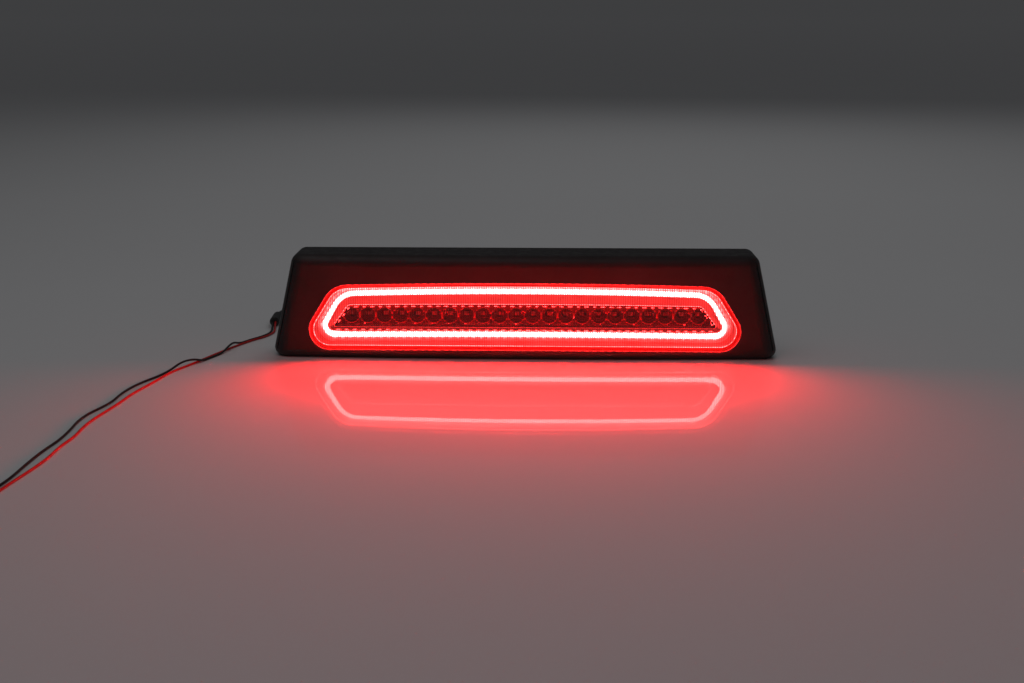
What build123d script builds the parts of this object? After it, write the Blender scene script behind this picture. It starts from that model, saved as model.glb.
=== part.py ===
from build123d import *
import math
import os

# Third brake light for the rear of a pickup cab.
# Millimetres. X runs along the lamp, -Y is the way the light faces, Z is up.
# The origin is at the middle of the lamp's footprint, on the surface it stands on.
# "Depth" is counted backwards from the nose of the front face.

# ---- driving dimensions -------------------------------------------------------------

OVERALL_WIDTH = 386.0
OVERALL_HEIGHT = 79.0
TOP_WIDTH = 349.0
OVERALL_DEPTH = 66.0  # nose to stud tips
BODY_DEPTH = 40.0  # nose to the rear plane of the housing
FRONT_BOW = 5.0  # how far the ends of the front face fall back
SIDE_ROUND = 12.0
FOOT_ROUND = 6.0
TOP_ROUND = 8.0
WALL = 3.0

LENS_FACE = 1.0  # depth of the lens's outer surface
LENS_WALL = 2.6
LENS_BAND = 3.0  # thickness of the skirt behind the smooth border band
SHELF = 14.0
SHELF_THICK = 2.5
SEAL_THICK = 1.2

BEZEL_FACE = 8.0
GUIDE_FACE = 9.2
GUIDE_DEPTH = 4.0
GUIDE_BAR = 4.7
TROUGH_FLOOR = 13.3
TROUGH_THICK = 1.0
RECESS_DEPTH = 16.2

CUP_COUNT = 22
CUP_PITCH = 12.55
CUP_Z = 31.2
CUP_RADIUS = 6.15
THROAT_RADIUS = 3.3
CUP_DEPTH = 6.0
REFLECTOR_FACE = 16.4
REFLECTOR_BACK = 24.2

BOARD_THICK = 1.6
HALO_BOARD = 16.6
HALO_LED_PITCH = 5.9
HALO_LED = (3.0, 1.2, 1.4)
CENTRE_BOARD = 24.4
CENTRE_LED = (3.5, 1.2, 2.8)

COVER_FACE = 37.4
COVER_GAP = 0.3
CAN_WIDTH = 150.0
CAN_LOW = 16.0
CAN_HIGH = 57.0
CAN_BACK = 54.0
CAN_WALL = 2.5
GASKET_THICK = 5.0
GASKET_BAND = 8.0
GASKET_ROUND = 0.8
DRIVER_BOARD = 42.0

STUD_RADIUS = 3.0
STUD_SHOULDER = 4.2  # the stud's pressed-in collar, flush with the cover's back
STUD_SPACING = 240.0
STUD_Z = 38.0
PIN_RADIUS = 2.5
PIN_LENGTH = 8.0
PIN_SPACING = 300.0
PIN_Z = 22.0
COVER_SCREWS = ((-176.0, 14.0), (176.0, 14.0), (-166.0, 68.0), (166.0, 68.0), (-58.0, 69.2), (58.0, 69.2))
BOSS_RADIUS = 4.0

GROMMET_X = -40.0
GROMMET_Z = 34.0
GROMMET_LENGTH = 20.0
SLEEVE_RADIUS = 2.2
WIRE_RADIUS = 0.8
BOOT_RADIUS = 4.0
CLEAR = 0.15
VENT_X = 100.0
VENT_Z = 62.0

CONNECTOR_X = -300.0
CONNECTOR_REAR = -352.0
CONNECTOR_Z = 5.5
CONNECTOR_BODY = 22.0
CONNECTOR_NOSE = 12.0
CONNECTOR_LENGTH = CONNECTOR_BODY + CONNECTOR_NOSE
CORE_PITCH = 4.4
SEAL_RADIUS = 1.8
PIVOT_Y = CONNECTOR_REAR - 10.5
PIVOT_Z = 13.4
PIVOT_RADIUS = 0.8

HALF_DEPTH = OVERALL_DEPTH / 2
REAR_PLANE = BODY_DEPTH - HALF_DEPTH
DRIVER_BACK = DRIVER_BOARD + BOARD_THICK

# ---- routes of the cable, chosen by hand: it lies on the surface the lamp stands on ---

BOOT_START = (-211.2, 91.0, 4.0)
BOOT_END = (-210.0, 69.0, 4.0)

SLEEVE_ROUTE = [
    (-40.0, 41.0, 34.0),
    (-40.0, 54.0, 32.5),
    (-44.0, 70.0, 24.5),
    (-56.0, 84.0, 13.5),
    (-76.0, 94.5, 5.0),
    (-104.0, 100.5, 2.3),
    (-134.0, 103.0, 2.3),
    (-160.0, 112.5, 2.3),
    (-181.0, 122.5, 2.3),
    (-200.5, 126.5, 2.3),
    (-212.3, 111.5, 3.0),
    BOOT_START,
]

BLACK_ROUTE = [
    (-211.0, 69.0, 4.0),
    (-209.6, 58.5, 2.6),
    (-207.8, 47.0, 0.8),
    (-211.8, 33.5, 0.8),
    (-219.8, 21.5, 0.8),
    (-225.4, 10.0, 0.8),
    (-227.8, 1.0, 4.0),
    (-229.2, -9.0, 4.0),
    (-232.0, -20.0, 0.8),
    (-236.6, -31.0, 0.8),
    (-241.0, -42.0, 0.8),
    (-246.0, -49.5, 4.0),
    (-253.0, -57.5, 4.0),
    (-258.4, -70.0, 0.8),
    (-262.9, -86.0, 0.8),
    (-268.8, -99.0, 0.8),
    (-273.0, -113.0, 0.8),
    (-275.4, -129.0, 0.8),
    (-275.3, -147.0, 0.8),
    (-278.5, -161.0, 0.8),
    (-282.4, -174.0, 0.8),
    (-283.7, -190.0, 0.8),
    (-282.1, -208.0, 0.8),
    (-281.8, -227.0, 0.8),
    (-284.4, -247.0, 0.8),
    (-285.2, -269.0, 0.8),
    (-285.0, -292.0, 0.8),
    (-287.2, -311.0, 0.8),
    (-293.8, -325.0, 0.8),
    (-300.6, -334.5, 2.6),
    (-302.2, -343.5, 5.0),
    (-302.2, -351.0, 5.5),
]

RED_ROUTE = [
    (-209.0, 69.0, 4.0),
    (-207.4, 58.5, 2.6),
    (-205.2, 47.0, 0.8),
    (-209.2, 32.5, 0.8),
    (-217.2, 20.8, 0.8),
    (-223.2, 9.0, 0.8),
    (-229.8, -5.5, 0.8),
    (-236.5, -23.0, 0.8),
    (-243.4, -42.0, 0.8),
    (-250.0, -58.5, 0.8),
    (-255.8, -72.0, 0.8),
    (-258.6, -84.0, 0.8),
    (-261.0, -98.0, 0.8),
    (-264.4, -113.0, 0.8),
    (-268.0, -130.0, 0.8),
    (-269.5, -148.0, 0.8),
    (-272.1, -166.0, 0.8),
    (-275.1, -184.0, 0.8),
    (-276.1, -202.0, 0.8),
    (-274.8, -220.0, 0.8),
    (-277.2, -239.0, 0.8),
    (-276.5, -259.0, 0.8),
    (-278.6, -279.0, 0.8),
    (-281.7, -298.0, 0.8),
    (-283.9, -317.0, 0.8),
    (-289.3, -330.0, 0.8),
    (-295.8, -338.0, 3.0),
    (-297.8, -345.0, 5.1),
    (-297.8, -351.0, 5.5),
]


# ---- helpers ------------------------------------------------------------------------


def half_width(z):
    """Half of the housing's width at this height."""
    return (OVERALL_WIDTH + (TOP_WIDTH - OVERALL_WIDTH) * z / OVERALL_HEIGHT) / 2


def outline(low, high, half_low, half_high, round_low, round_high, crown_low=0.0, crown_high=0.0):
    """A rounded trapezoid in the front view, with a crown on its lower and upper edges."""
    corners = [(-half_low, low), (half_low, low), (half_high, high), (-half_high, high)]
    bottom = Line(corners[0], corners[1])
    if crown_low:
        bottom = ThreePointArc(corners[0], (0, low + crown_low), corners[1])
    top = Line(corners[2], corners[3])
    if crown_high:
        top = ThreePointArc(corners[2], (0, high + crown_high), corners[3])
    sides = Line(corners[1], corners[2]) + Line(corners[3], corners[0])
    shape = make_face([bottom, *sides.edges(), top])
    rows = shape.vertices().group_by(Axis.Y)
    shape = fillet(rows[0], round_low)
    rows = [v for v in shape.vertices() if abs(v.Y - high) < 0.01]
    return fillet(rows, round_high)


def front_plane(depth):
    """The front-view plane at this depth: its own X and Y are the lamp's X and Z."""
    return Plane(origin=(0, depth - HALF_DEPTH, 0), x_dir=(1, 0, 0), z_dir=(0, -1, 0))


def plate(shape, front, back):
    """The outline made solid between two depths."""
    return extrude(front_plane(back) * shape, amount=back - front)


def taper(front_shape, front, back_shape, back):
    """A solid that runs from one outline to another."""
    return loft([front_plane(back) * back_shape, front_plane(front) * front_shape], ruled=True)


def rod(x, z, radius, front, back):
    """A round bar along the lamp's depth."""
    return plate(Pos(x, z) * Circle(radius), front, back)


def block(x, depth, z, width, thick, height):
    """A box whose front face is at this depth, centred on x and z."""
    return plate(Pos(x, z) * Rectangle(width, height), depth, depth + thick)


def bow_radius():
    half = OVERALL_WIDTH / 2
    return (half**2 + FRONT_BOW**2) / (2 * FRONT_BOW)


def behind_bow(depth, back=80.0):
    """All the space behind the bowed surface at this depth."""
    half = OVERALL_WIDTH
    nose = depth - HALF_DEPTH
    end = nose + bow_radius() - math.sqrt(bow_radius() ** 2 - half**2)
    front = ThreePointArc((-half, end), (0, nose), (half, end))
    rest = Polyline((half, end), (half, back + end), (-half, back + end), (-half, end))
    return Pos(0, 0, -20) * extrude(make_face([front, *rest.edges()]), amount=OVERALL_HEIGHT + 40)


def group(solids):
    """Separate solids that share one node."""
    return Compound(children=list(solids))


def screw(x, z, seat, tip, radius, head_radius, head):
    """A pan-head screw driven from behind: its head sits on the seat and its tip points forward."""
    shank = rod(x, z, radius, tip, seat)
    cap = rod(x, z, head_radius, seat, seat + head)
    cap = fillet(cap.edges().group_by(Axis.Y)[-1], head * 0.45)
    slot = block(x, seat + head * 0.45, z, head_radius * 1.1, head, head_radius * 0.24)
    cross = block(x, seat + head * 0.45, z, head_radius * 0.24, head, head_radius * 1.1)
    return (shank + cap - slot - cross).solid()


# ---- the outlines that nest inside each other, in the front view ---------------------


def lens_outline():
    return outline(5.8, 56.6, 175.6, 144.0, 15.5, 21.0, crown_low=1.2, crown_high=2.7)


def guide_outer():
    return outline(15.2, 51.8, 160.5, 140.0, 9.3, 20.8, crown_low=0.9, crown_high=2.4)


def guide_inner():
    return offset(guide_outer(), -GUIDE_BAR)


def guide_middle():
    return offset(guide_outer(), -GUIDE_BAR / 2)


def recess_outline():
    return outline(21.5, 39.6, 147.6, 134.2, 2.0, 5.0, crown_high=1.0)


def recess_outside():
    return outline(20.9, 41.2, 149.6, 134.6, 2.0, 6.0, crown_high=1.0)


def cavity_outline():
    low = WALL
    high = OVERALL_HEIGHT - WALL
    return outline(low, high, half_width(low) - WALL, half_width(high) - WALL, 4.0, 6.0)


# ---- shells -------------------------------------------------------------------------


def housing_plan(z, inset=0.0):
    """The housing's outline seen from above, at this height."""
    half = half_width(z) - inset
    nose = inset - HALF_DEPTH
    end = nose + bow_radius() - math.sqrt(bow_radius() ** 2 - half**2)
    front = ThreePointArc((-half, end), (0, nose), (half, end))
    rest = Polyline((half, end), (half, REAR_PLANE), (-half, REAR_PLANE), (-half, end))
    shape = make_face([front, *rest.edges()])
    corners = [v for v in shape.vertices() if v.Y < 0]
    return Pos(0, 0, z) * fillet(corners, SIDE_ROUND - inset)


def housing_body():
    body = loft([housing_plan(0), housing_plan(OVERALL_HEIGHT)], ruled=True)
    rear = [e for e in body.edges() if e.center().Y > REAR_PLANE - 0.01]
    foot = [e for e in body.faces().sort_by(Axis.Z)[0].edges() if e not in rear]
    foot = [e for e in foot if e.center().Y < REAR_PLANE - 0.1]
    body = fillet(foot, FOOT_ROUND)
    top = [e for e in body.faces().sort_by(Axis.Z)[-1].edges() if e.center().Y < REAR_PLANE - 0.1]
    return fillet(top, TOP_ROUND)


def make_outer_housing():
    body = housing_body()
    cavity = plate(cavity_outline(), -10, BODY_DEPTH + 1) & behind_bow(WALL)
    shell = body - cavity
    shelf = plate(offset(cavity_outline(), 1.0), SHELF, SHELF + SHELF_THICK)
    pocket = plate(offset(lens_outline(), 2.2), -10, SHELF + 0.1) & behind_bow(WALL - 0.5)
    bosses = [rod(x, z, BOSS_RADIUS, SHELF, COVER_FACE) for x, z in COVER_SCREWS]
    shell = shell + (shelf & body) + (pocket & body)
    for boss in bosses:
        shell = shell + boss
    shell = shell - plate(offset(lens_outline(), 0.2), -10, SHELF)
    shell = shell - plate(offset(guide_outer(), 1.2), SHELF - 1, SHELF + SHELF_THICK + 1)
    for x, z in COVER_SCREWS:
        shell = shell - rod(x, z, 1.45, COVER_FACE - 10, COVER_FACE + 1)
    for x, z in halo_screw_places():
        shell = shell - rod(x, z, 1.0, SHELF + 0.5, SHELF + SHELF_THICK + 1)
    return shell


def make_outer_lens():
    whole = plate(lens_outline(), -10, SHELF - SEAL_THICK) & behind_bow(LENS_FACE)
    hollow = plate(offset(lens_outline(), -LENS_BAND), -10, SHELF + 1) & behind_bow(LENS_FACE + LENS_WALL)
    lens = whole - hollow
    rim = [e for e in lens.edges() if e.bounding_box().max.Y < LENS_FACE + FRONT_BOW - HALF_DEPTH]
    return fillet(rim, 0.8)


def make_lens_seal():
    ring = plate(offset(lens_outline(), -0.1), SHELF - SEAL_THICK, SHELF)
    return ring - plate(offset(lens_outline(), 0.1 - LENS_BAND), SHELF - SEAL_THICK, SHELF)


def cover_outline():
    return offset(cavity_outline(), -COVER_GAP)


def can_outline(inset=0.0):
    height = CAN_HIGH - CAN_LOW
    middle = (CAN_HIGH + CAN_LOW) / 2
    shape = RectangleRounded(CAN_WIDTH - 2 * inset, height - 2 * inset, 9.0 - inset)
    return Pos(0, middle) * shape


def make_rear_cover():
    cover = plate(cover_outline(), COVER_FACE, BODY_DEPTH)
    can = plate(can_outline(), COVER_FACE, CAN_BACK)
    can = fillet(can.faces().sort_by(Axis.Y)[-1].edges(), 2.0)
    cover = cover + can - plate(can_outline(CAN_WALL), COVER_FACE - 1, CAN_BACK - CAN_WALL)
    for x, z in driver_screw_places():
        cover = cover + rod(x, z, 3.0, DRIVER_BOARD + BOARD_THICK, CAN_BACK - CAN_WALL + 0.1)
        cover = cover - rod(x, z, 1.1, DRIVER_BOARD, CAN_BACK - CAN_WALL - 1)
    for side in (-1, 1):
        cover = cover + rod(side * PIN_SPACING / 2, PIN_Z, PIN_RADIUS, BODY_DEPTH - 0.1, BODY_DEPTH + PIN_LENGTH)
        cover = cover - rod(side * STUD_SPACING / 2, STUD_Z, STUD_SHOULDER, COVER_FACE - 1, BODY_DEPTH + 1)
        for lift in (-16, 16):
            rib = block(side * 120, COVER_FACE - 6, STUD_Z + lift, 84, 6.1, 1.8)
            cover = cover + rib
    for x, z in COVER_SCREWS:
        cover = cover - rod(x, z, 1.7, COVER_FACE - 1, BODY_DEPTH + 1)
    cover = cover - rod(GROMMET_X, GROMMET_Z, 4.0, CAN_BACK - CAN_WALL - 1, CAN_BACK + 1)
    cover = cover - rod(VENT_X, VENT_Z, 2.0, COVER_FACE - 1, BODY_DEPTH + 1)
    return cover


def driver_screw_places():
    middle = (CAN_HIGH + CAN_LOW) / 2
    return [(x, middle + z) for x in (-58, 58) for z in (-13, 13)]


def halo_screw_places():
    low = 9.2
    return [(x, low) for x in (-132, -66, 0, 66, 132)] + [(-66, 57.9), (66, 57.9)]


def make_cover_seal():
    ring = plate(offset(cover_outline(), -0.2), COVER_FACE - 1.6, COVER_FACE)
    ring = ring - plate(offset(cover_outline(), -2.2), COVER_FACE - 1.6, COVER_FACE)
    return ring


def make_body_gasket():
    outer = offset(can_outline(), GASKET_BAND + 1.0)
    inner = offset(can_outline(), 1.0)
    band = plate(outer, BODY_DEPTH, BODY_DEPTH + GASKET_THICK)
    band = band - plate(inner, BODY_DEPTH, BODY_DEPTH + GASKET_THICK)
    return fillet(band.faces().sort_by(Axis.Y)[-1].edges(), GASKET_ROUND)


def make_mounting_studs():
    studs = []
    for side in (-1, 1):
        x = side * STUD_SPACING / 2
        head = plate(Pos(x, STUD_Z) * RegularPolygon(6.2, 6), COVER_FACE - 3.0, COVER_FACE)
        collar = rod(x, STUD_Z, STUD_SHOULDER, COVER_FACE, BODY_DEPTH)
        shank = rod(x, STUD_Z, STUD_RADIUS, BODY_DEPTH, OVERALL_DEPTH)
        shank = chamfer(shank.edges().sort_by(Axis.Y)[-1], 0.8)
        studs.append((head + collar + shank).solid())
    return group(studs)


def make_cover_screws():
    return group(screw(x, z, BODY_DEPTH, COVER_FACE - 8, 1.45, 2.8, 2.0) for x, z in COVER_SCREWS)


def make_vent_plug():
    stem = rod(VENT_X, VENT_Z, 2.0, COVER_FACE - 1.0, BODY_DEPTH)
    cap = rod(VENT_X, VENT_Z, 5.5, BODY_DEPTH, BODY_DEPTH + 2.6)
    cap = fillet(cap.edges().group_by(Axis.Y)[-1], 0.9)
    vents = [
        Pos(VENT_X, 0, VENT_Z) * Rot(0, turn, 0) * Pos(5.5, BODY_DEPTH + 0.6 - HALF_DEPTH, 0) * Box(3.0, 1.2, 1.4)
        for turn in range(0, 360, 60)
    ]
    plug = stem + cap
    for vent in vents:
        plug = plug - vent
    return plug


# ---- light unit ---------------------------------------------------------------------


def halo_led_spots():
    """Evenly spaced places along the middle line of the ring, each with its direction."""
    loop = guide_middle().face().outer_wire()
    count = round(loop.length / HALO_LED_PITCH)
    spots = []
    for k in range(count):
        at = loop.position_at((k + 0.5) / count)
        along = loop.tangent_at((k + 0.5) / count)
        spots.append((at.X, at.Y, math.degrees(math.atan2(along.Y, along.X))))
    return spots


def make_halo_light_guide():
    ring = plate(guide_outer(), GUIDE_FACE, GUIDE_FACE + GUIDE_DEPTH)
    ring = ring - plate(guide_inner(), GUIDE_FACE - 1, GUIDE_FACE + GUIDE_DEPTH + 1)
    return fillet(ring.faces().sort_by(Axis.Y)[0].edges(), 1.4)


def make_inner_bezel():
    outer = plate(offset(lens_outline(), -LENS_BAND - CLEAR), BEZEL_FACE, SHELF)
    outer = outer - taper(
        offset(guide_outer(), 2.6), BEZEL_FACE, offset(guide_outer(), CLEAR), BEZEL_FACE + 2.4
    )
    outer = outer - plate(offset(guide_outer(), CLEAR), BEZEL_FACE, SHELF + 1)
    floor = plate(offset(guide_outer(), 0.8), TROUGH_FLOOR, TROUGH_FLOOR + TROUGH_THICK)
    floor = floor - plate(offset(guide_inner(), -0.8), TROUGH_FLOOR - 1, TROUGH_FLOOR + TROUGH_THICK + 1)
    collar = plate(offset(guide_inner(), -CLEAR), GUIDE_FACE + 0.2, TROUGH_FLOOR + TROUGH_THICK)
    collar = collar - plate(offset(guide_inner(), -1.0), GUIDE_FACE - 1, TROUGH_FLOOR + TROUGH_THICK + 1)
    slope = taper(offset(guide_inner(), -CLEAR), GUIDE_FACE + 0.2, recess_outside(), RECESS_DEPTH)
    for x, z in centre_screw_places():
        slope = slope + rod(x, z, 2.2, TROUGH_FLOOR - 2, REFLECTOR_FACE)
        slope = slope - rod(x, z, 1.0, TROUGH_FLOOR + 0.3, REFLECTOR_FACE + 1)
    slope = slope - taper(offset(guide_inner(), -0.9), GUIDE_FACE + 0.2, recess_outline(), RECESS_DEPTH)
    bezel = outer + floor + collar + slope
    for x, z, turn in halo_led_spots():
        window = Pos(x, z) * Rot(0, 0, turn) * Rectangle(3.6, 2.0)
        bezel = bezel - plate(window, TROUGH_FLOOR - 1, TROUGH_FLOOR + TROUGH_THICK + 0.5)
    return bezel


def led_strip_outline(gap):
    return offset(guide_inner(), gap)


def cup_places():
    middle = (CUP_COUNT - 1) / 2
    return [((k - middle) * CUP_PITCH, CUP_Z) for k in range(CUP_COUNT)]


def cup_hollow():
    """One reflector cup: a bowl that narrows to the throat round its LED."""
    front = REFLECTOR_FACE - HALF_DEPTH
    floor = front + CUP_DEPTH
    bowl = Line((0, front), (CUP_RADIUS, front))
    side = ThreePointArc((CUP_RADIUS, front), (CUP_RADIUS * 0.84, front + CUP_DEPTH * 0.55), (THROAT_RADIUS, floor))
    neck = Polyline((THROAT_RADIUS, floor), (THROAT_RADIUS, floor + 6), (0, floor + 6), (0, front))
    return revolve(make_face([*bowl.edges(), *side.edges(), *neck.edges()]), Axis.Y)


def make_reflector_strip():
    strip = plate(led_strip_outline(0.6), REFLECTOR_FACE, REFLECTOR_BACK)
    hollow = cup_hollow()
    strip = strip - [Pos(x, 0, z) * hollow for x, z in cup_places()]
    for x, z in centre_screw_places():
        strip = strip - rod(x, z, 1.1, REFLECTOR_FACE - 1, REFLECTOR_BACK + 1)
    return strip


def centre_screw_places():
    return [(x, 45.6) for x in (-108, -54, 0, 54, 108)]


def make_centre_led_board():
    board = plate(led_strip_outline(0.1), CENTRE_BOARD, CENTRE_BOARD + BOARD_THICK)
    for x, z in centre_screw_places():
        board = board - rod(x, z, 1.1, CENTRE_BOARD - 1, CENTRE_BOARD + BOARD_THICK + 1)
    return board


def make_centre_leds():
    width, thick, height = CENTRE_LED
    leds = []
    for x, z in cup_places():
        body = block(x, CENTRE_BOARD - thick, z, width, thick, height)
        dome = Pos(x, CENTRE_BOARD - thick - HALF_DEPTH, z) * Sphere(1.1)
        leds.append((body + dome).solid())
    return group(leds)


def make_centre_board_screws():
    seat = CENTRE_BOARD + BOARD_THICK
    return group(screw(x, z, seat, TROUGH_FLOOR + 0.3, 1.0, 2.0, 1.5) for x, z in centre_screw_places())


def make_halo_led_board():
    board = plate(offset(lens_outline(), 1.0), HALO_BOARD, HALO_BOARD + BOARD_THICK)
    board = board - plate(led_strip_outline(1.4), HALO_BOARD - 1, HALO_BOARD + BOARD_THICK + 1)
    for x, z in halo_screw_places():
        board = board - rod(x, z, 1.1, HALO_BOARD - 1, HALO_BOARD + BOARD_THICK + 1)
    return board


def make_halo_leds():
    length, thick, width = HALO_LED
    leds = []
    for x, z, turn in halo_led_spots():
        body = Pos(x, z) * Rot(0, 0, turn) * Rectangle(length, width)
        leds.append(plate(body, HALO_BOARD - thick, HALO_BOARD).solid())
    return group(leds)


def make_halo_board_screws():
    seat = HALO_BOARD + BOARD_THICK
    return group(screw(x, z, seat, SHELF + 0.6, 1.0, 1.8, 1.3) for x, z in halo_screw_places())


# ---- driver, inside the can of the rear cover ----------------------------------------


def make_driver_board():
    board = plate(can_outline(CAN_WALL + 0.8), DRIVER_BOARD, DRIVER_BOARD + BOARD_THICK)
    for x, z in driver_screw_places():
        board = board - rod(x, z, 1.3, DRIVER_BOARD - 1, DRIVER_BOARD + BOARD_THICK + 1)
    return board


def make_driver_board_screws():
    """Pan-head screws driven from the front into the cover's posts."""
    screws = []
    for x, z in driver_screw_places():
        head = rod(x, z, 2.3, DRIVER_BOARD - 1.6, DRIVER_BOARD)
        shank = rod(x, z, 1.1, DRIVER_BOARD, DRIVER_BOARD + 6.5)
        slot = block(x, DRIVER_BOARD - 1.6, z, 2.6, 0.8, 0.6)
        cross = block(x, DRIVER_BOARD - 1.6, z, 0.6, 0.8, 2.6)
        screws.append((head + shank - slot - cross).solid())
    return group(screws)


def make_driver_capacitors():
    parts = []
    for x in (8.0, 20.0):
        foot = block(x, DRIVER_BACK, 42.0, 6.6, 0.8, 6.6)
        can = rod(x, 42.0, 3.0, DRIVER_BACK + 0.8, DRIVER_BACK + 6.4)
        can = fillet(can.edges().group_by(Axis.Y)[-1], 0.6)
        parts.append((foot + can).solid())
    return group(parts)


def make_driver_regulator():
    body = block(42.0, DRIVER_BACK + 0.3, 38.0, 10.0, 4.2, 9.0)
    tab = block(42.0, DRIVER_BACK, 44.0, 10.0, 1.3, 4.0)
    legs = [block(42.0 + shift, DRIVER_BACK, 31.5, 0.9, 0.8, 5.0) for shift in (-2.54, 0, 2.54)]
    regulator = body + tab
    for leg in legs:
        regulator = regulator + leg
    return regulator


def make_driver_resistors():
    spots = [(x, 27.0) for x in (-20.0, -12.0, -4.0, 4.0, 12.0, 20.0)]
    return group(block(x, DRIVER_BACK, z, 3.2, 0.6, 1.6).solid() for x, z in spots)


def make_driver_diodes():
    spots = [(-16.0, 42.0), (-6.0, 42.0)]
    return group(block(x, DRIVER_BACK, z, 4.4, 2.2, 2.7).solid() for x, z in spots)


def lead(points, radius, bend):
    """A thin insulated lead between two boards, bent round the same radius at each corner."""
    path = FilletPolyline(*points, radius=bend)
    return sweep(Plane(origin=path @ 0, z_dir=path % 0) * Circle(radius), path=path)


def board_leads(x, z, far_x, far_z, far_depth):
    """Two leads side by side from the front of the driver board to the back of another board."""
    start = DRIVER_BOARD - HALF_DEPTH
    end = far_depth - HALF_DEPTH
    leads = []
    for shift in (0.0, 2.6):
        route = [
            (x + shift, start, z),
            (x + shift, start - 5, z),
            (far_x + shift, end + 5, far_z),
            (far_x + shift, end, far_z),
        ]
        leads.append(lead(route, 0.6, 2.4).solid())
    return group(leads)


def make_halo_board_leads():
    return board_leads(-34.0, 24.0, -38.0, 14.5, HALO_BOARD + BOARD_THICK)


def make_centre_board_leads():
    return board_leads(24.0, 34.0, 28.0, 30.0, CENTRE_BOARD + BOARD_THICK)


def inner_lead(shift, pad_x):
    """One supply lead, from the inner end of the grommet to its pad on the driver board."""
    inlet = CAN_BACK - CAN_WALL - 1.5 - HALF_DEPTH
    pad = DRIVER_BACK - HALF_DEPTH
    route = [
        (GROMMET_X + shift, inlet, GROMMET_Z),
        (GROMMET_X + shift, inlet - 3, GROMMET_Z),
        (pad_x, pad + 2.6, GROMMET_Z + shift),
        (pad_x, pad, GROMMET_Z + shift),
    ]
    return lead(route, WIRE_RADIUS, 1.6)


def make_inner_red_lead():
    return inner_lead(1.2, GROMMET_X + 7.0)


def make_inner_black_lead():
    return inner_lead(-1.2, GROMMET_X - 7.0)


# ---- cable --------------------------------------------------------------------------


def make_cable_grommet():
    """Rubber grommet: a groove that grips the can's wall, then a ribbed taper."""
    x, z = GROMMET_X, GROMMET_Z
    inside = CAN_BACK - CAN_WALL
    grommet = rod(x, z, 5.4, inside - 1.5, inside) + rod(x, z, 4.0, inside, CAN_BACK)
    grommet = grommet + rod(x, z, 6.6, CAN_BACK, CAN_BACK + 2.0)
    small = Pos(x, z) * Circle(3.2)
    large = Pos(x, z) * Circle(5.0)
    grommet = grommet + taper(large, CAN_BACK + 2.0, small, CAN_BACK + GROMMET_LENGTH)
    for k in range(4):
        start = CAN_BACK + 5.0 + 3.4 * k
        grommet = grommet - (rod(x, z, 7.0, start, start + 1.3) - rod(x, z, 3.4 - 0.2 * k, start, start + 1.3))
    return grommet


def corner_radii(points):
    """The bend at each corner of a route: as large as its two straight runs allow."""
    radii = []
    for before, here, after in zip(points, points[1:], points[2:]):
        run_in = Vector(*here) - Vector(*before)
        run_out = Vector(*after) - Vector(*here)
        turn = math.radians(run_in.get_angle(run_out))
        radii.append(0.45 * min(run_in.length, run_out.length) / math.tan(turn / 2))
    return radii


def tube(name, points, radius):
    """A cord's solid: straight runs joined by tangent arcs."""
    radii = corner_radii(points)
    path = FilletPolyline(*points, radius=radii)
    solid = sweep(Plane(origin=path @ 0, z_dir=path % 0) * Circle(radius), path=path)
    expected = math.pi * radius**2 * path.length
    print(name, "length", round(path.length, 1), "volume ratio", round(solid.volume / expected, 4))
    print(name, "radii", [round(r) for r in radii])
    return solid


def boot_axis():
    return Vector(*BOOT_END) - Vector(*BOOT_START)


def make_cable_sleeve():
    return tube("cable_sleeve", SLEEVE_ROUTE, SLEEVE_RADIUS)


def make_sleeve_boot():
    plane = Plane(origin=BOOT_START, z_dir=boot_axis())
    length = boot_axis().length
    boot = extrude(plane * Circle(BOOT_RADIUS), amount=length)
    ends = boot.edges().filter_by(GeomType.CIRCLE)
    return fillet(ends, 1.3)


def make_red_wire():
    return tube("red_wire", RED_ROUTE, WIRE_RADIUS)


def make_black_wire():
    return tube("black_wire", BLACK_ROUTE, WIRE_RADIUS)


# ---- connector on the far end of the wires: it faces -Y ------------------------------


def connector_box(x, rear, z, width, length, height):
    """A box behind which the wires come in: rear is its wire end, counted from the connector's rear."""
    middle = CONNECTOR_REAR - rear - length / 2
    return Pos(CONNECTOR_X + x, middle, z) * Box(width, length, height)


def connector_rod(x, rear, z, radius, length):
    centre = (CONNECTOR_X + x, CONNECTOR_REAR - rear, z)
    return extrude(Plane(origin=centre, z_dir=(0, -1, 0)) * Circle(radius), amount=length)


def make_connector_body():
    body = connector_box(0, 0, CONNECTOR_Z, 15.0, CONNECTOR_BODY, 2 * CONNECTOR_Z)
    body = fillet(body.edges().filter_by(Axis.Y), 2.0)
    nose = connector_box(0, CONNECTOR_BODY, CONNECTOR_Z, 11.0, CONNECTOR_NOSE, 7.4)
    nose = fillet(nose.edges().filter_by(Axis.Y), 1.6)
    nose = chamfer(nose.faces().sort_by(Axis.Y)[0].edges(), 0.5)
    body = body + nose
    for side in (-1, 1):
        cheek = connector_box(side * 4.3, 4.0, 2 * CONNECTOR_Z + 1.9, 1.4, 13.0, 4.2)
        cheek = fillet(cheek.edges().filter_by(Axis.X).group_by(Axis.Z)[-1], 1.6)
        body = body + cheek
        x = side * CORE_PITCH / 2
        body = body - connector_rod(x, -1, CONNECTOR_Z, SEAL_RADIUS, 8.0)
        body = body - connector_box(x, 6.9, CONNECTOR_Z, 2.4, CONNECTOR_LENGTH, 2.4)
    pivot = Plane(origin=(CONNECTOR_X - 10, PIVOT_Y, PIVOT_Z), z_dir=(1, 0, 0)) * Circle(PIVOT_RADIUS + 0.05)
    return body - extrude(pivot, amount=20)


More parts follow.
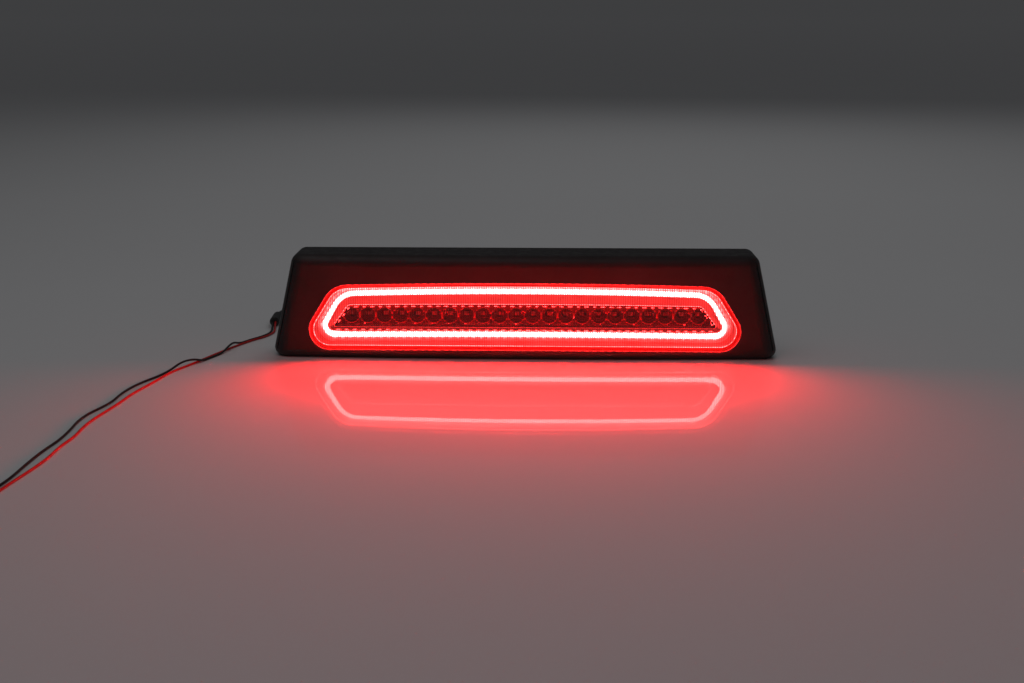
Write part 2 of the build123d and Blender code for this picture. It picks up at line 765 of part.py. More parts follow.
def make_connector_face_seal():
    ring = connector_box(0, CONNECTOR_BODY, CONNECTOR_Z, 12.8, 3.0, 9.2)
    ring = fillet(ring.edges().filter_by(Axis.Y), 2.4)
    hole = connector_box(0, CONNECTOR_BODY - 1, CONNECTOR_Z, 11.0, 5.0, 7.4)
    hole = fillet(hole.edges().filter_by(Axis.Y), 1.6)
    groove = connector_box(0, CONNECTOR_BODY + 1.2, CONNECTOR_Z, 20, 0.6, 20)
    core = connector_box(0, CONNECTOR_BODY + 1.0, CONNECTOR_Z, 12.0, 1.0, 8.4)
    return ring - hole - (groove - core)


def make_wire_seals():
    seals = []
    for side in (-1, 1):
        x = side * CORE_PITCH / 2
        seal = connector_rod(x, -1.0, CONNECTOR_Z, SEAL_RADIUS, 7.0)
        for k in range(3):
            rim = connector_rod(x, 0.6 + 1.8 * k, CONNECTOR_Z, SEAL_RADIUS + 1, 0.8)
            rim = rim - connector_rod(x, 0.6 + 1.8 * k, CONNECTOR_Z, SEAL_RADIUS - 0.35, 0.8)
            seal = seal - rim
        seals.append(seal.solid())
    return group(seals)


def make_connector_terminals():
    terminals = []
    for side in (-1, 1):
        x = side * CORE_PITCH / 2
        barrel = connector_rod(x, 6.9, CONNECTOR_Z, 1.0, 5.0)
        box = connector_box(x, 11.0, CONNECTOR_Z, 2.2, CONNECTOR_LENGTH - 12.5, 2.2)
        mouth = connector_box(x, 18.0, CONNECTOR_Z, 1.5, CONNECTOR_LENGTH, 0.8)
        terminals.append((barrel + box - mouth).solid())
    return group(terminals)


def make_connector_latch():
    """Rocking lever on a cross pin: pressing its rear pad lifts the hook at its front."""
    arm = connector_box(0, 1.0, PIVOT_Z, 6.4, CONNECTOR_LENGTH - 2.0, 1.5)
    pad = connector_box(0, 1.0, PIVOT_Z + 0.9, 6.4, 5.0, 1.6)
    pad = fillet(pad.edges().filter_by(Axis.X).group_by(Axis.Z)[-1], 0.6)
    hook = connector_box(0, CONNECTOR_LENGTH - 3.2, PIVOT_Z - 1.0, 6.4, 2.2, 1.6)
    hook = chamfer(hook.edges().filter_by(Axis.X).group_by(Axis.Z)[0].sort_by(Axis.Y)[0], 1.2)
    pin = Plane(origin=(CONNECTOR_X - 5.0, PIVOT_Y, PIVOT_Z), z_dir=(1, 0, 0)) * Circle(PIVOT_RADIUS)
    latch = arm + pad + hook + extrude(pin, amount=10.0)
    for k in range(3):
        latch = latch - connector_box(0, 2.0 + 1.2 * k, PIVOT_Z + 1.9, 7.0, 0.5, 0.8)
    return latch


MAKERS = {
    "outer_housing": make_outer_housing,
    "outer_lens": make_outer_lens,
    "lens_seal": make_lens_seal,
    "inner_bezel": make_inner_bezel,
    "halo_light_guide": make_halo_light_guide,
    "halo_led_board": make_halo_led_board,
    "halo_leds": make_halo_leds,
    "halo_board_screws": make_halo_board_screws,
    "reflector_strip": make_reflector_strip,
    "centre_led_board": make_centre_led_board,
    "centre_leds": make_centre_leds,
    "centre_board_screws": make_centre_board_screws,
    "rear_cover": make_rear_cover,
    "cover_seal": make_cover_seal,
    "cover_screws": make_cover_screws,
    "mounting_studs": make_mounting_studs,
    "body_gasket": make_body_gasket,
    "vent_plug": make_vent_plug,
    "driver_board": make_driver_board,
    "driver_board_screws": make_driver_board_screws,
    "driver_capacitors": make_driver_capacitors,
    "driver_regulator": make_driver_regulator,
    "driver_resistors": make_driver_resistors,
    "driver_diodes": make_driver_diodes,
    "halo_board_leads": make_halo_board_leads,
    "centre_board_leads": make_centre_board_leads,
    "inner_red_lead": make_inner_red_lead,
    "inner_black_lead": make_inner_black_lead,
    "cable_grommet": make_cable_grommet,
    "cable_sleeve": make_cable_sleeve,
    "sleeve_boot": make_sleeve_boot,
    "red_wire": make_red_wire,
    "black_wire": make_black_wire,
    "connector_body": make_connector_body,
    "connector_face_seal": make_connector_face_seal,
    "wire_seals": make_wire_seals,
    "connector_terminals": make_connector_terminals,
    "connector_latch": make_connector_latch,
}

os.makedirs("parts", exist_ok=True)
for name, make in MAKERS.items():
    export_step(make(), f"parts/{name}.step")
    print("wrote", name)
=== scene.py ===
import math

import bmesh
import bpy
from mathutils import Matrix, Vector
from mathutils.geometry import delaunay_2d_cdt

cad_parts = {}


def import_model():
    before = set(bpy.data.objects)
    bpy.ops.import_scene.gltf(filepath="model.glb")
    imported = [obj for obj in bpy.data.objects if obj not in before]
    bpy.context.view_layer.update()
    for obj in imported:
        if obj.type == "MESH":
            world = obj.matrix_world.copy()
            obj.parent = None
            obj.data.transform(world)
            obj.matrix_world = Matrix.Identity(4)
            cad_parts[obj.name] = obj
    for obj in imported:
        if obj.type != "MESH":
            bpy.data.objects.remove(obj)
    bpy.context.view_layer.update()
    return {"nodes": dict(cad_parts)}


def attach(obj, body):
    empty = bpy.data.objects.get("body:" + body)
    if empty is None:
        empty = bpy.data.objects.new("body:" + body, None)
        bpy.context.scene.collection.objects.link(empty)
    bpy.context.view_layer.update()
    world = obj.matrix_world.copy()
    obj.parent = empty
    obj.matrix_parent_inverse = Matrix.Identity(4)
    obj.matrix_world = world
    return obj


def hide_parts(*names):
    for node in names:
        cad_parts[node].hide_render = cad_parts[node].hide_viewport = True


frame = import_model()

NODES = frame["nodes"]
LAMP = "lamp"
MM = 0.001

# ---- camera -----------------------------------------------------------------------------

CAMERA_PLACE = (0.0142, -0.9640, 0.2560)
CAMERA_PITCH = 14.52  # degrees below the horizon
CAMERA_YAW = 1.43  # degrees to the left
FOCAL_PIXELS = 1280.0
IMAGE_WIDTH = 1024.0
SENSOR = 36.0


def make_camera():
    """The photo's camera, at the place and angle solved from the table's edges."""
    data = bpy.data.cameras.new("camera")
    data.sensor_width = SENSOR
    data.lens = SENSOR * FOCAL_PIXELS / IMAGE_WIDTH
    camera = bpy.data.objects.new("camera", data)
    camera.location = CAMERA_PLACE
    camera.rotation_euler = (math.radians(90 - CAMERA_PITCH), 0, math.radians(CAMERA_YAW))
    bpy.context.scene.collection.objects.link(camera)
    bpy.context.scene.camera = camera


make_camera()

# ---- cables: each route is the CAD route, in metres ---------------------------------------

SLEEVE_DIAMETER = 0.0044
WIRE_DIAMETER = 0.0016

SLEEVE_ROUTE = [
    (-0.0400, 0.0410, 0.0340),
    (-0.0400, 0.0540, 0.0325),
    (-0.0440, 0.0700, 0.0245),
    (-0.0560, 0.0840, 0.0135),
    (-0.0760, 0.0945, 0.0050),
    (-0.1040, 0.1005, 0.0023),
    (-0.1340, 0.1030, 0.0023),
    (-0.1600, 0.1125, 0.0023),
    (-0.1810, 0.1225, 0.0023),
    (-0.2005, 0.1265, 0.0023),
    (-0.2123, 0.1115, 0.0030),
    (-0.2112, 0.0910, 0.0040),
]

BLACK_ROUTE = [
    (-0.2110, 0.0690, 0.0040),
    (-0.2096, 0.0585, 0.0026),
    (-0.2078, 0.0470, 0.0008),
    (-0.2118, 0.0335, 0.0008),
    (-0.2198, 0.0215, 0.0008),
    (-0.2254, 0.0100, 0.0008),
    (-0.2278, 0.0010, 0.0040),
    (-0.2292, -0.0090, 0.0040),
    (-0.2320, -0.0200, 0.0008),
    (-0.2366, -0.0310, 0.0008),
    (-0.2410, -0.0420, 0.0008),
    (-0.2460, -0.0495, 0.0040),
    (-0.2530, -0.0575, 0.0040),
    (-0.2584, -0.0700, 0.0008),
    (-0.2629, -0.0860, 0.0008),
    (-0.2688, -0.0990, 0.0008),
    (-0.2730, -0.1130, 0.0008),
    (-0.2754, -0.1290, 0.0008),
    (-0.2753, -0.1470, 0.0008),
    (-0.2785, -0.1610, 0.0008),
    (-0.2824, -0.1740, 0.0008),
    (-0.2837, -0.1900, 0.0008),
    (-0.2821, -0.2080, 0.0008),
    (-0.2818, -0.2270, 0.0008),
    (-0.2844, -0.2470, 0.0008),
    (-0.2852, -0.2690, 0.0008),
    (-0.2850, -0.2920, 0.0008),
    (-0.2872, -0.3110, 0.0008),
    (-0.2938, -0.3250, 0.0008),
    (-0.3006, -0.3345, 0.0026),
    (-0.3022, -0.3435, 0.0050),
    (-0.3022, -0.3510, 0.0055),
]

RED_ROUTE = [
    (-0.2090, 0.0690, 0.0040),
    (-0.2074, 0.0585, 0.0026),
    (-0.2052, 0.0470, 0.0008),
    (-0.2092, 0.0325, 0.0008),
    (-0.2172, 0.0208, 0.0008),
    (-0.2232, 0.0090, 0.0008),
    (-0.2298, -0.0055, 0.0008),
    (-0.2365, -0.0230, 0.0008),
    (-0.2434, -0.0420, 0.0008),
    (-0.2500, -0.0585, 0.0008),
    (-0.2558, -0.0720, 0.0008),
    (-0.2586, -0.0840, 0.0008),
    (-0.2610, -0.0980, 0.0008),
    (-0.2644, -0.1130, 0.0008),
    (-0.2680, -0.1300, 0.0008),
    (-0.2695, -0.1480, 0.0008),
    (-0.2721, -0.1660, 0.0008),
    (-0.2751, -0.1840, 0.0008),
    (-0.2761, -0.2020, 0.0008),
    (-0.2748, -0.2200, 0.0008),
    (-0.2772, -0.2390, 0.0008),
    (-0.2765, -0.2590, 0.0008),
    (-0.2786, -0.2790, 0.0008),
    (-0.2817, -0.2980, 0.0008),
    (-0.2839, -0.3170, 0.0008),
    (-0.2893, -0.3300, 0.0008),
    (-0.2958, -0.3380, 0.0030),
    (-0.2978, -0.3450, 0.0051),
    (-0.2978, -0.3510, 0.0055),
]


def make_curve(name, route, diameter):
    """A round cable on one smooth spline, with the route's points as its control points."""
    data = bpy.data.curves.new(name, "CURVE")
    data.dimensions = "3D"
    spline = data.splines.new("NURBS")
    spline.points.add(len(route) - 1)
    for point, place in zip(spline.points, route):
        point.co = (*place, 1.0)
        point.radius = diameter / 2
    spline.order_u = 3
    spline.use_endpoint_u = True
    spline.resolution_u = 10
    data.bevel_depth = 1.0  # times each point's radius, which also keeps the curve's box true
    data.bevel_resolution = 5
    data.use_fill_caps = True
    curve = bpy.data.objects.new(name, data)
    bpy.context.scene.collection.objects.link(curve)
    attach(curve, LAMP)
    return curve


sleeve = make_curve("sleeve_curve", SLEEVE_ROUTE, SLEEVE_DIAMETER)
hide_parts("cable_sleeve")
black_wire = make_curve("black_wire_curve", BLACK_ROUTE, WIRE_DIAMETER)
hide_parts("black_wire")
red_wire = make_curve("red_wire_curve", RED_ROUTE, WIRE_DIAMETER)
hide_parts("red_wire")


# ---- outlines in the front view, in millimetres, as in the CAD ------------------------------

HALF_DEPTH = 33.0
OVERALL_WIDTH = 386.0
FRONT_BOW = 5.0
BOW_RADIUS = ((OVERALL_WIDTH / 2) ** 2 + FRONT_BOW**2) / (2 * FRONT_BOW)

# Each outline: low edge, high edge, half widths there, corner radii there, crowns of the long edges.
LENS = (5.8, 56.6, 175.6, 144.0, 15.5, 21.0, 1.2, 2.7)
RECESS = (21.5, 39.6, 147.6, 134.2, 2.0, 5.0, 0.0, 1.0)

CORNER_STEP = 0.8  # longest step round a corner of an outline
CORNER_COUNT = 4  # fewest steps round one

LENS_FACE = 1.0
LENS_WALL = 2.6
LENS_BAND = 3.0
LENS_RIM = 0.8
LENS_RIM_STEPS = 5
SKIRT_BACK = 12.8
FLUTE_PITCH = 1.73
FLUTE_DEPTH = 0.06
FLUTE_STEPS = 6

CUP_COUNT = 22
CUP_PITCH = 12.55
CUP_Z = 31.2
CUP_RADIUS = 6.15
THROAT_RADIUS = 3.3
CUP_DEPTH = 6.0
REFLECTOR_FACE = 16.4


def outline(low, high, half_low, half_high, round_low, round_high, crown_low, crown_high, step=2.0):
    """Points round a rounded trapezoid, anticlockwise from its lower left, as in the CAD."""
    corners = [(-half_low, low), (half_low, low), (half_high, high), (-half_high, high)]
    corners = [Vector(corner) for corner in corners]
    crowns = (crown_low, 0.0, crown_high, 0.0)
    rounds = (round_low, round_low, round_high, round_high)

    def at(k, t):
        start, end = corners[k], corners[(k + 1) % 4]
        return start + (end - start) * t + Vector((0, 4 * crowns[k] * t * (1 - t)))

    def along(k, t):
        start, end = corners[k], corners[(k + 1) % 4]
        return (end - start + Vector((0, 4 * crowns[k] * (1 - 2 * t)))).normalized()

    turns = [along(k - 1, 1.0).angle(along(k, 0.0)) for k in range(4)]
    cuts = [rounds[k] * math.tan(turns[k] / 2) for k in range(4)]
    points = []
    for k in range(4):
        length = (corners[(k + 1) % 4] - corners[k]).length
        first = cuts[k] / length
        last = 1 - cuts[(k + 1) % 4] / length
        before = 1 - cuts[k] / (corners[k] - corners[k - 1]).length
        # a cubic curve with handles of this length follows an arc
        handle = 4 / 3 * math.tan(turns[k] / 4) * rounds[k]
        start, end = at(k - 1, before), at(k, first)
        ease_in = start + along(k - 1, before) * handle
        ease_out = end - along(k, first) * handle
        count = max(CORNER_COUNT, math.ceil(rounds[k] * turns[k] / min(step, CORNER_STEP)))
        for i in range(count):
            t = i / count
            points.append(
                start * (1 - t) ** 3 + ease_in * 3 * t * (1 - t) ** 2
                + ease_out * 3 * t**2 * (1 - t) + end * t**3
            )
        count = math.ceil(length * (last - first) / step)
        points += [at(k, first + (last - first) * i / count) for i in range(count)]
    return points


def inward(points):
    """The inward direction at each point of an anticlockwise loop."""
    normals = []
    for k, point in enumerate(points):
        tangent = points[(k + 1) % len(points)] - points[k - 1]
        normals.append(Vector((-tangent.y, tangent.x)).normalized())
    return normals


def inset(points, distance):
    """The loop moved inward by this distance, or outward if it is negative."""
    return [point + normal * distance for point, normal in zip(points, inward(points))]


def bowed(x, depth):
    """Y of the bowed front at this depth behind the nose."""
    return depth - HALF_DEPTH + BOW_RADIUS - math.sqrt(BOW_RADIUS**2 - x * x)


# ---- mesh helpers -------------------------------------------------------------------------


def make_piece(name, vertices, faces, slot, sharp=40.0):
    """A smooth mesh riding on the lamp: places in millimetres, the angle of a sharp edge in degrees."""
    mesh = bpy.data.meshes.new(name)
    mesh.from_pydata([(x * MM, y * MM, z * MM) for x, y, z in vertices], [], faces)
    mesh.validate()
    work = bmesh.new()
    work.from_mesh(mesh)
    bmesh.ops.recalc_face_normals(work, faces=work.faces)
    work.to_mesh(mesh)
    work.free()
    mesh.shade_smooth()
    mesh.set_sharp_from_angle(angle=math.radians(sharp))
    piece = bpy.data.objects.new(name, mesh)
    bpy.context.scene.collection.objects.link(piece)
    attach(piece, LAMP)
    return piece


def bridge(first, second, count):
    """Faces between two loops of the same count that start at these vertex numbers."""
    return [(first + k, first + (k + 1) % count, second + (k + 1) % count, second + k) for k in range(count)]


# ---- lens ---------------------------------------------------------------------------------


def crossed(loop, places):
    """The loop with a point added wherever it crosses one of these upright lines, and the pairs."""
    full, marks = [], {}
    for k, start in enumerate(loop):
        end = loop[(k + 1) % len(loop)]
        full.append(start)
        low, high = sorted((start.x, end.x))
        found = [x for x in places if low < x < high]
        for x in sorted(found, reverse=end.x < start.x):
            point = start.lerp(end, (x - start.x) / (end.x - start.x))
            marks.setdefault(x, []).append(len(full))
            full.append(point)
    return full, [pair for pair in marks.values() if len(pair) == 2]


def flute(x):
    """How far the back of the lens stands out at this place: a row of upright half rounds."""
    return FLUTE_DEPTH * abs(math.sin(math.pi * x / FLUTE_PITCH))


FILL_KIND = 1  # the triangulation gives only the triangles inside the loop
FILL_TOLERANCE = 1e-5


def filled(loop, pairs):
    """Triangles that fill a loop, split along the upright lines between the paired points."""
    count = len(loop)
    edges = [(k, (k + 1) % count) for k in range(count)] + [tuple(pair) for pair in pairs]
    made = delaunay_2d_cdt(loop, edges, [], FILL_KIND, FILL_TOLERANCE)
    points, triangles, origins = made[0], made[2], made[3]
    number = {k: origin[0] for k, origin in enumerate(origins) if origin}
    known = [triangle for triangle in triangles if all(k in number for k in triangle)]
    return [tuple(number[k] for k in triangle) for triangle in known]


def make_lens():
    """A closed lens: bowed face, rounded rim, skirt, and a fluted back."""
    border = inset(outline(*LENS), LENS_BAND)
    reach = LENS[2]
    count = math.ceil(reach / FLUTE_PITCH) * FLUTE_STEPS
    places = [k * FLUTE_PITCH / FLUTE_STEPS for k in range(-count, count + 1)]
    border, pairs = crossed(border, places)
    size = len(border)
    normals = inward(border)

    def ring(distance, depth):
        """A loop this far inside the lens's outline; no depth means the skirt's flat back."""
        loop = [point + normal * (distance - LENS_BAND) for point, normal in zip(border, normals)]
        if depth is None:
            return [(p.x, SKIRT_BACK - HALF_DEPTH, p.y) for p in loop]
        return [(p.x, bowed(p.x, depth), p.y) for p in loop]

    rings = [ring(LENS_BAND, None), ring(0.0, None)]
    for k in range(LENS_RIM_STEPS + 1):
        turn = math.pi / 2 * k / LENS_RIM_STEPS
        rings.append(ring(LENS_RIM * (1 - math.cos(turn)), LENS_FACE + LENS_RIM * (1 - math.sin(turn))))
    rings.append(ring(LENS_BAND, LENS_FACE))
    back = [(p.x, bowed(p.x, LENS_FACE + LENS_WALL) + flute(p.x), p.y) for p in border]
    rings.append(back)
    vertices = [place for loop in rings for place in loop]
    faces = []
    for k in range(len(rings) - 2):
        faces += bridge(k * size, (k + 1) * size, size)
    last = (len(rings) - 1) * size
    faces += bridge(last, 0, size)
    caps = filled(border, pairs)
    front = (len(rings) - 2) * size
    faces += [tuple(front + k for k in cap) for cap in caps]
    faces += [tuple(last + k for k in cap) for cap in caps]
    return make_piece("lens_fluted", vertices, faces, "lens_red")


lens = make_lens()
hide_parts("outer_lens")


# ---- details of the light unit -------------------------------------------------------------

# The outline's measures are in the same order as the lens's.
GUIDE = (15.2, 50.1, 160.1, 139.2, 9.2, 20.2, 0.9, 2.4)
GUIDE_BAR = 3.0
GUIDE_END = 4.3  # the bar is broader round both ends
GUIDE_END_START = 135.0  # it starts to broaden at this half width
GUIDE_END_EASE = 15.0  # and has its full breadth this much further out
GUIDE_FACE = 9.2
GUIDE_BACK = 13.2
# part of the way across the bar, and how far the face drops back there
GUIDE_DOME = [(0.0, 0.8), (0.12, 0.3), (0.3, 0.06), (0.5, 0.0), (0.7, 0.06), (0.88, 0.3), (1.0, 0.8)]


def make_guide():
    """The ring of the light guide, with a domed face between its square flanks."""
    outer = outline(*GUIDE)
    normals = inward(outer)
    ends = [min(1.0, max(0.0, (abs(p.x) - GUIDE_END_START) / GUIDE_END_EASE)) for p in outer]
    bars = [GUIDE_BAR + (GUIDE_END - GUIDE_BAR) * end for end in ends]
    dome = [(across, GUIDE_FACE + drop) for across, drop in GUIDE_DOME]
    rows = [(0.0, GUIDE_BACK), *dome, (1.0, GUIDE_BACK)]
    vertices = []
    for across, depth in rows:
        loop = [p + normal * across * bar for p, normal, bar in zip(outer, normals, bars)]
        vertices += [(p.x, depth - HALF_DEPTH, p.y) for p in loop]
    count = len(outer)
    faces = []
    for row in range(len(rows)):
        faces += bridge(row * count, (row + 1) % len(rows) * count, count)
    return make_piece("guide_domed", vertices, faces, "guide_lit")


guide = make_guide()
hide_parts("halo_light_guide")


def ring_profile(centre, axis_y, radius, tube, steps=36, sides=8):
    """Places and faces of a round bead that faces the front."""
    places, faces = [], []
    for i in range(steps):
        turn = 2 * math.pi * i / steps
        for j in range(sides):
            swing = 2 * math.pi * j / sides
            out = radius + tube * math.cos(swing)
            places.append((
                centre[0] + out * math.cos(turn),
                axis_y + tube * math.sin(swing),
                centre[1] + out * math.sin(turn),
            ))
    for i in range(steps):
        for j in range(sides):
            here, there = i * sides, (i + 1) % steps * sides
            faces.append((here + j, there + j, there + (j + 1) % sides, here + (j + 1) % sides))
    return places, faces


def joined(shapes):
    """One list of places and faces from several."""
    places, faces = [], []
    for some, more in shapes:
        faces += [tuple(k + len(places) for k in face) for face in more]
        places += some
    return places, faces


def cup_centres():
    """The middle of each cup in the front view."""
    middle = (CUP_COUNT - 1) / 2
    return [((k - middle) * CUP_PITCH, CUP_Z) for k in range(CUP_COUNT)]


CUP_RIM = 0.26
RIM_LIFT = 0.1
STEP_RADIUS = 4.75  # a round step half way down each cup
STEP_DEPTH = 3.4
STEP_TUBE = 0.2
THROAT_TUBE = 0.3
THROAT_LIFT = 0.15


def make_cup_rims():
    """The raised rim, the step and the throat ring of every cup."""
    front = REFLECTOR_FACE - HALF_DEPTH
    shapes = []
    for centre in cup_centres():
        shapes.append(ring_profile(centre, front - RIM_LIFT, CUP_RADIUS, CUP_RIM, steps=48))
        shapes.append(ring_profile(centre, front + STEP_DEPTH, STEP_RADIUS, STEP_TUBE, steps=40))
        shapes.append(ring_profile(centre, front + CUP_DEPTH - THROAT_LIFT, THROAT_RADIUS, THROAT_TUBE))
    return make_piece("cup_rims", *joined(shapes), "reflector_chrome")


def pillow(centre, along, half_size, steps=12, sides=8):
    """A small rounded pad: centre, its direction in the front view, and its half sizes."""
    long, high, deep = half_size
    places, faces = [], []
    for i in range(1, sides):
        tilt = math.pi * i / sides
        for j in range(steps):
            turn = 2 * math.pi * j / steps
            u = long * math.cos(tilt)
            v = high * math.sin(tilt) * math.cos(turn)
            places.append((
                centre[0] + along.x * u - along.y * v,
                centre[1] + deep * math.sin(tilt) * math.sin(turn),
                centre[2] + along.y * u + along.x * v,
            ))
    for i in range(sides - 2):
        for j in range(steps):
            here, there = i * steps, (i + 1) * steps
            faces.append((here + j, here + (j + 1) % steps, there + (j + 1) % steps, there + j))
    first, last = len(places), len(places) + 1
    places.append((centre[0] + along.x * long, centre[1], centre[2] + along.y * long))
    places.append((centre[0] - along.x * long, centre[1], centre[2] - along.y * long))
    end = (sides - 2) * steps
    for j in range(steps):
        faces.append((first, (j + 1) % steps, j))
        faces.append((last, end + j, end + (j + 1) % steps))
    return places, faces


SCALLOP_PITCH = CUP_PITCH / 2
SCALLOP_HALF = (1.5, 0.26, 0.35)  # half sizes along the row, across it and in depth
SCALLOP_INSET = 2.3
SCALLOP_DEPTH = 16.2  # on the face of the reflector
LOWER_EDGE = 24.0  # pads below this height belong to the lower row
LOWER_HALF = (1.5, 0.34, 0.4)
LOWER_DEPTH = 9.3  # the lower row sits on the front edge of the wall under the cups
LOWER_DROP = 2.45


def spaced(loop, pitch):
    """Evenly spaced places round a loop, each with its direction."""
    lengths = [(loop[(k + 1) % len(loop)] - point).length for k, point in enumerate(loop)]
    count = round(sum(lengths) / pitch)
    gap = sum(lengths) / count
    found, travelled, target = [], 0.0, gap / 2
    for k, point in enumerate(loop):
        run = loop[(k + 1) % len(loop)] - point
        while target <= travelled + lengths[k]:
            found.append((point + run * ((target - travelled) / lengths[k]), run.normalized()))
            target += gap
        travelled += lengths[k]
    return found


def make_recess_scallops():
    """A row of small rounded pads round the mouth of the recess, and a lower row under the cups, which carry
    painted bright dashes.
    """
    shapes = []
    for place, along in spaced(inset(outline(*RECESS, step=1.0), SCALLOP_INSET), SCALLOP_PITCH):
        depth, drop, half = SCALLOP_DEPTH, 0.0, SCALLOP_HALF
        if place.y < LOWER_EDGE:
            depth, drop, half = LOWER_DEPTH, LOWER_DROP, LOWER_HALF
        shapes.append(pillow((place.x, depth - HALF_DEPTH, place.y - drop), along, half))
    return make_piece("recess_scallops", *joined(shapes), "bezel_silver", sharp=80)


FLANGE_OUTER = -0.3  # a negative inset reaches under the mouth's edge
FLANGE_INNER = 0.45
FLANGE_BEVEL = 0.4
FLANGE_FACE = 15.5
FLANGE_BACK = 16.3


def make_flange():
    """The bevelled flange inside the mouth of the recess."""
    loop = outline(*RECESS)
    rows = [
        (FLANGE_OUTER, FLANGE_BACK), (FLANGE_OUTER, FLANGE_FACE - FLANGE_BEVEL),
        (FLANGE_INNER, FLANGE_FACE), (FLANGE_INNER, FLANGE_BACK),
    ]
    vertices = []
    for distance, depth in rows:
        vertices += [(p.x, depth - HALF_DEPTH, p.y) for p in inset(loop, distance)]
    count = len(loop)
    faces = []
    for row in range(len(rows)):
        faces += bridge(row * count, (row + 1) % len(rows) * count, count)
    return make_piece("recess_flange", vertices, faces, "bezel_silver")


def bead(name, loop, depth, radius, slot, flat=False, sides=8):
    """A thin round bead that follows a loop at this depth, flat or behind the bowed front."""
    normals = inward(loop)
    places, faces = [], []
    for point, normal in zip(loop, normals):
        for j in range(sides):
            swing = 2 * math.pi * j / sides
            side = point + normal * (radius * math.cos(swing))
            middle = depth - HALF_DEPTH if flat else bowed(point.x, depth)
            places.append((side.x, middle + radius * math.sin(swing), side.y))
    count = len(loop)
    for i in range(count):
        for j in range(sides):
            here, there = i * sides, (i + 1) % count * sides
            faces.append((here + j, there + j, there + (j + 1) % sides, here + (j + 1) % sides))
    return make_piece(name, places, faces, slot)


GLINT_Z = 24.6
GLINT_SPREAD = 1.02  # the painted glints stand a little wider apart than the cups
GLINT_HALF = (0.3, 0.28, 0.3)


def make_cup_glints():
    """A small pad in the reflector's face under each cup, which carries a painted glint."""
    front = REFLECTOR_FACE - HALF_DEPTH
    shapes = [pillow((x * GLINT_SPREAD, front, GLINT_Z), Vector((1, 0)), GLINT_HALF) for x, _ in cup_centres()]
    return make_piece("cup_glint_pads", *joined(shapes), "reflector_chrome", sharp=80)


BORDER_BEAD_INSET = LENS_BAND + 0.45
BORDER_BEAD_DEPTH = 4.05
BORDER_BEAD_RADIUS = 0.22
EDGE_BEAD_INSET = 0.55
EDGE_BEAD_DEPTH = 2.0
EDGE_BEAD_RADIUS = 0.2
LIP_RADIUS = 0.15

cup_rims = make_cup_rims()
scallops = make_recess_scallops()
glint_pads = make_cup_glints()
# The beads below carry painted highlights of the ring's light along the lens's border, its edge and the
# recess's lip.
border_loop = inset(outline(*LENS), BORDER_BEAD_INSET)
border_bead = bead("lens_border_bead", border_loop, BORDER_BEAD_DEPTH, BORDER_BEAD_RADIUS, "lens_red")
edge_loop = inset(outline(*LENS), EDGE_BEAD_INSET)
edge_bead = bead("lens_edge_bead", edge_loop, EDGE_BEAD_DEPTH, EDGE_BEAD_RADIUS, "lens_red")
flange = make_flange()
lip_loop = inset(outline(*RECESS), FLANGE_INNER)
recess_lip = bead("recess_lip_bead", lip_loop, FLANGE_FACE, LIP_RADIUS, "bezel_silver", flat=True)

# ---- studs with their threads ---------------------------------------------------------------

STUD_SPACING = 240.0
STUD_Z = 38.0
STUD_RADIUS = 3.0
THREAD_PITCH = 1.0
THREAD_DEPTH = 0.55
THREAD_STEPS = 8  # loops in each turn of the thread
THREAD_START = 9.0
STUD_START = 7.0  # the rear plane of the lamp
STUD_END = 33.0
STUD_TIP = 0.9  # how much narrower the flat tip is
STUD_TIP_LENGTH = 0.8
STUD_LEAD_IN = 0.25  # how much lower the first turn's crest is
STUD_SIDES = 32
COLLAR_RADIUS = 4.1
COLLAR_BEVEL = 0.3
COLLAR_STEP = 0.05
HEAD_RADIUS = 5.4
HEAD_FRONT = STUD_START - 5.6
HEAD_BACK = STUD_START - 2.6
HEAD_BEVEL = 0.5
HEAD_EDGE = 0.4  # how far back the bevel of the head starts


def around(x, y, radii):
    """A loop of places round a stud's axis, one for each of these radii."""
    places = []
    for k, radius in enumerate(radii):
        turn = 2 * math.pi * k / STUD_SIDES
        places.append((x + radius * math.cos(turn), y, STUD_Z + radius * math.sin(turn)))
    return places


def thread_loops(x):
    """Loops from the tip towards the lamp: each follows the ridge of the thread round the stud."""
    start = STUD_END - STUD_TIP_LENGTH
    count = int((start - THREAD_START) / THREAD_PITCH * THREAD_STEPS)
    loops = []
    for i in range(count + 1):
        y = start - i * THREAD_PITCH / THREAD_STEPS
        fade = min(1.0, i / THREAD_STEPS, (count - i) / THREAD_STEPS)
        crest = STUD_RADIUS - STUD_LEAD_IN * (1 - min(1.0, i / THREAD_STEPS))
        phases = [(y / THREAD_PITCH + k / STUD_SIDES) % 1.0 for k in range(STUD_SIDES)]
        loops.append(around(x, y, [crest - THREAD_DEPTH * abs(2 * phase - 1) * fade for phase in phases]))
    return loops


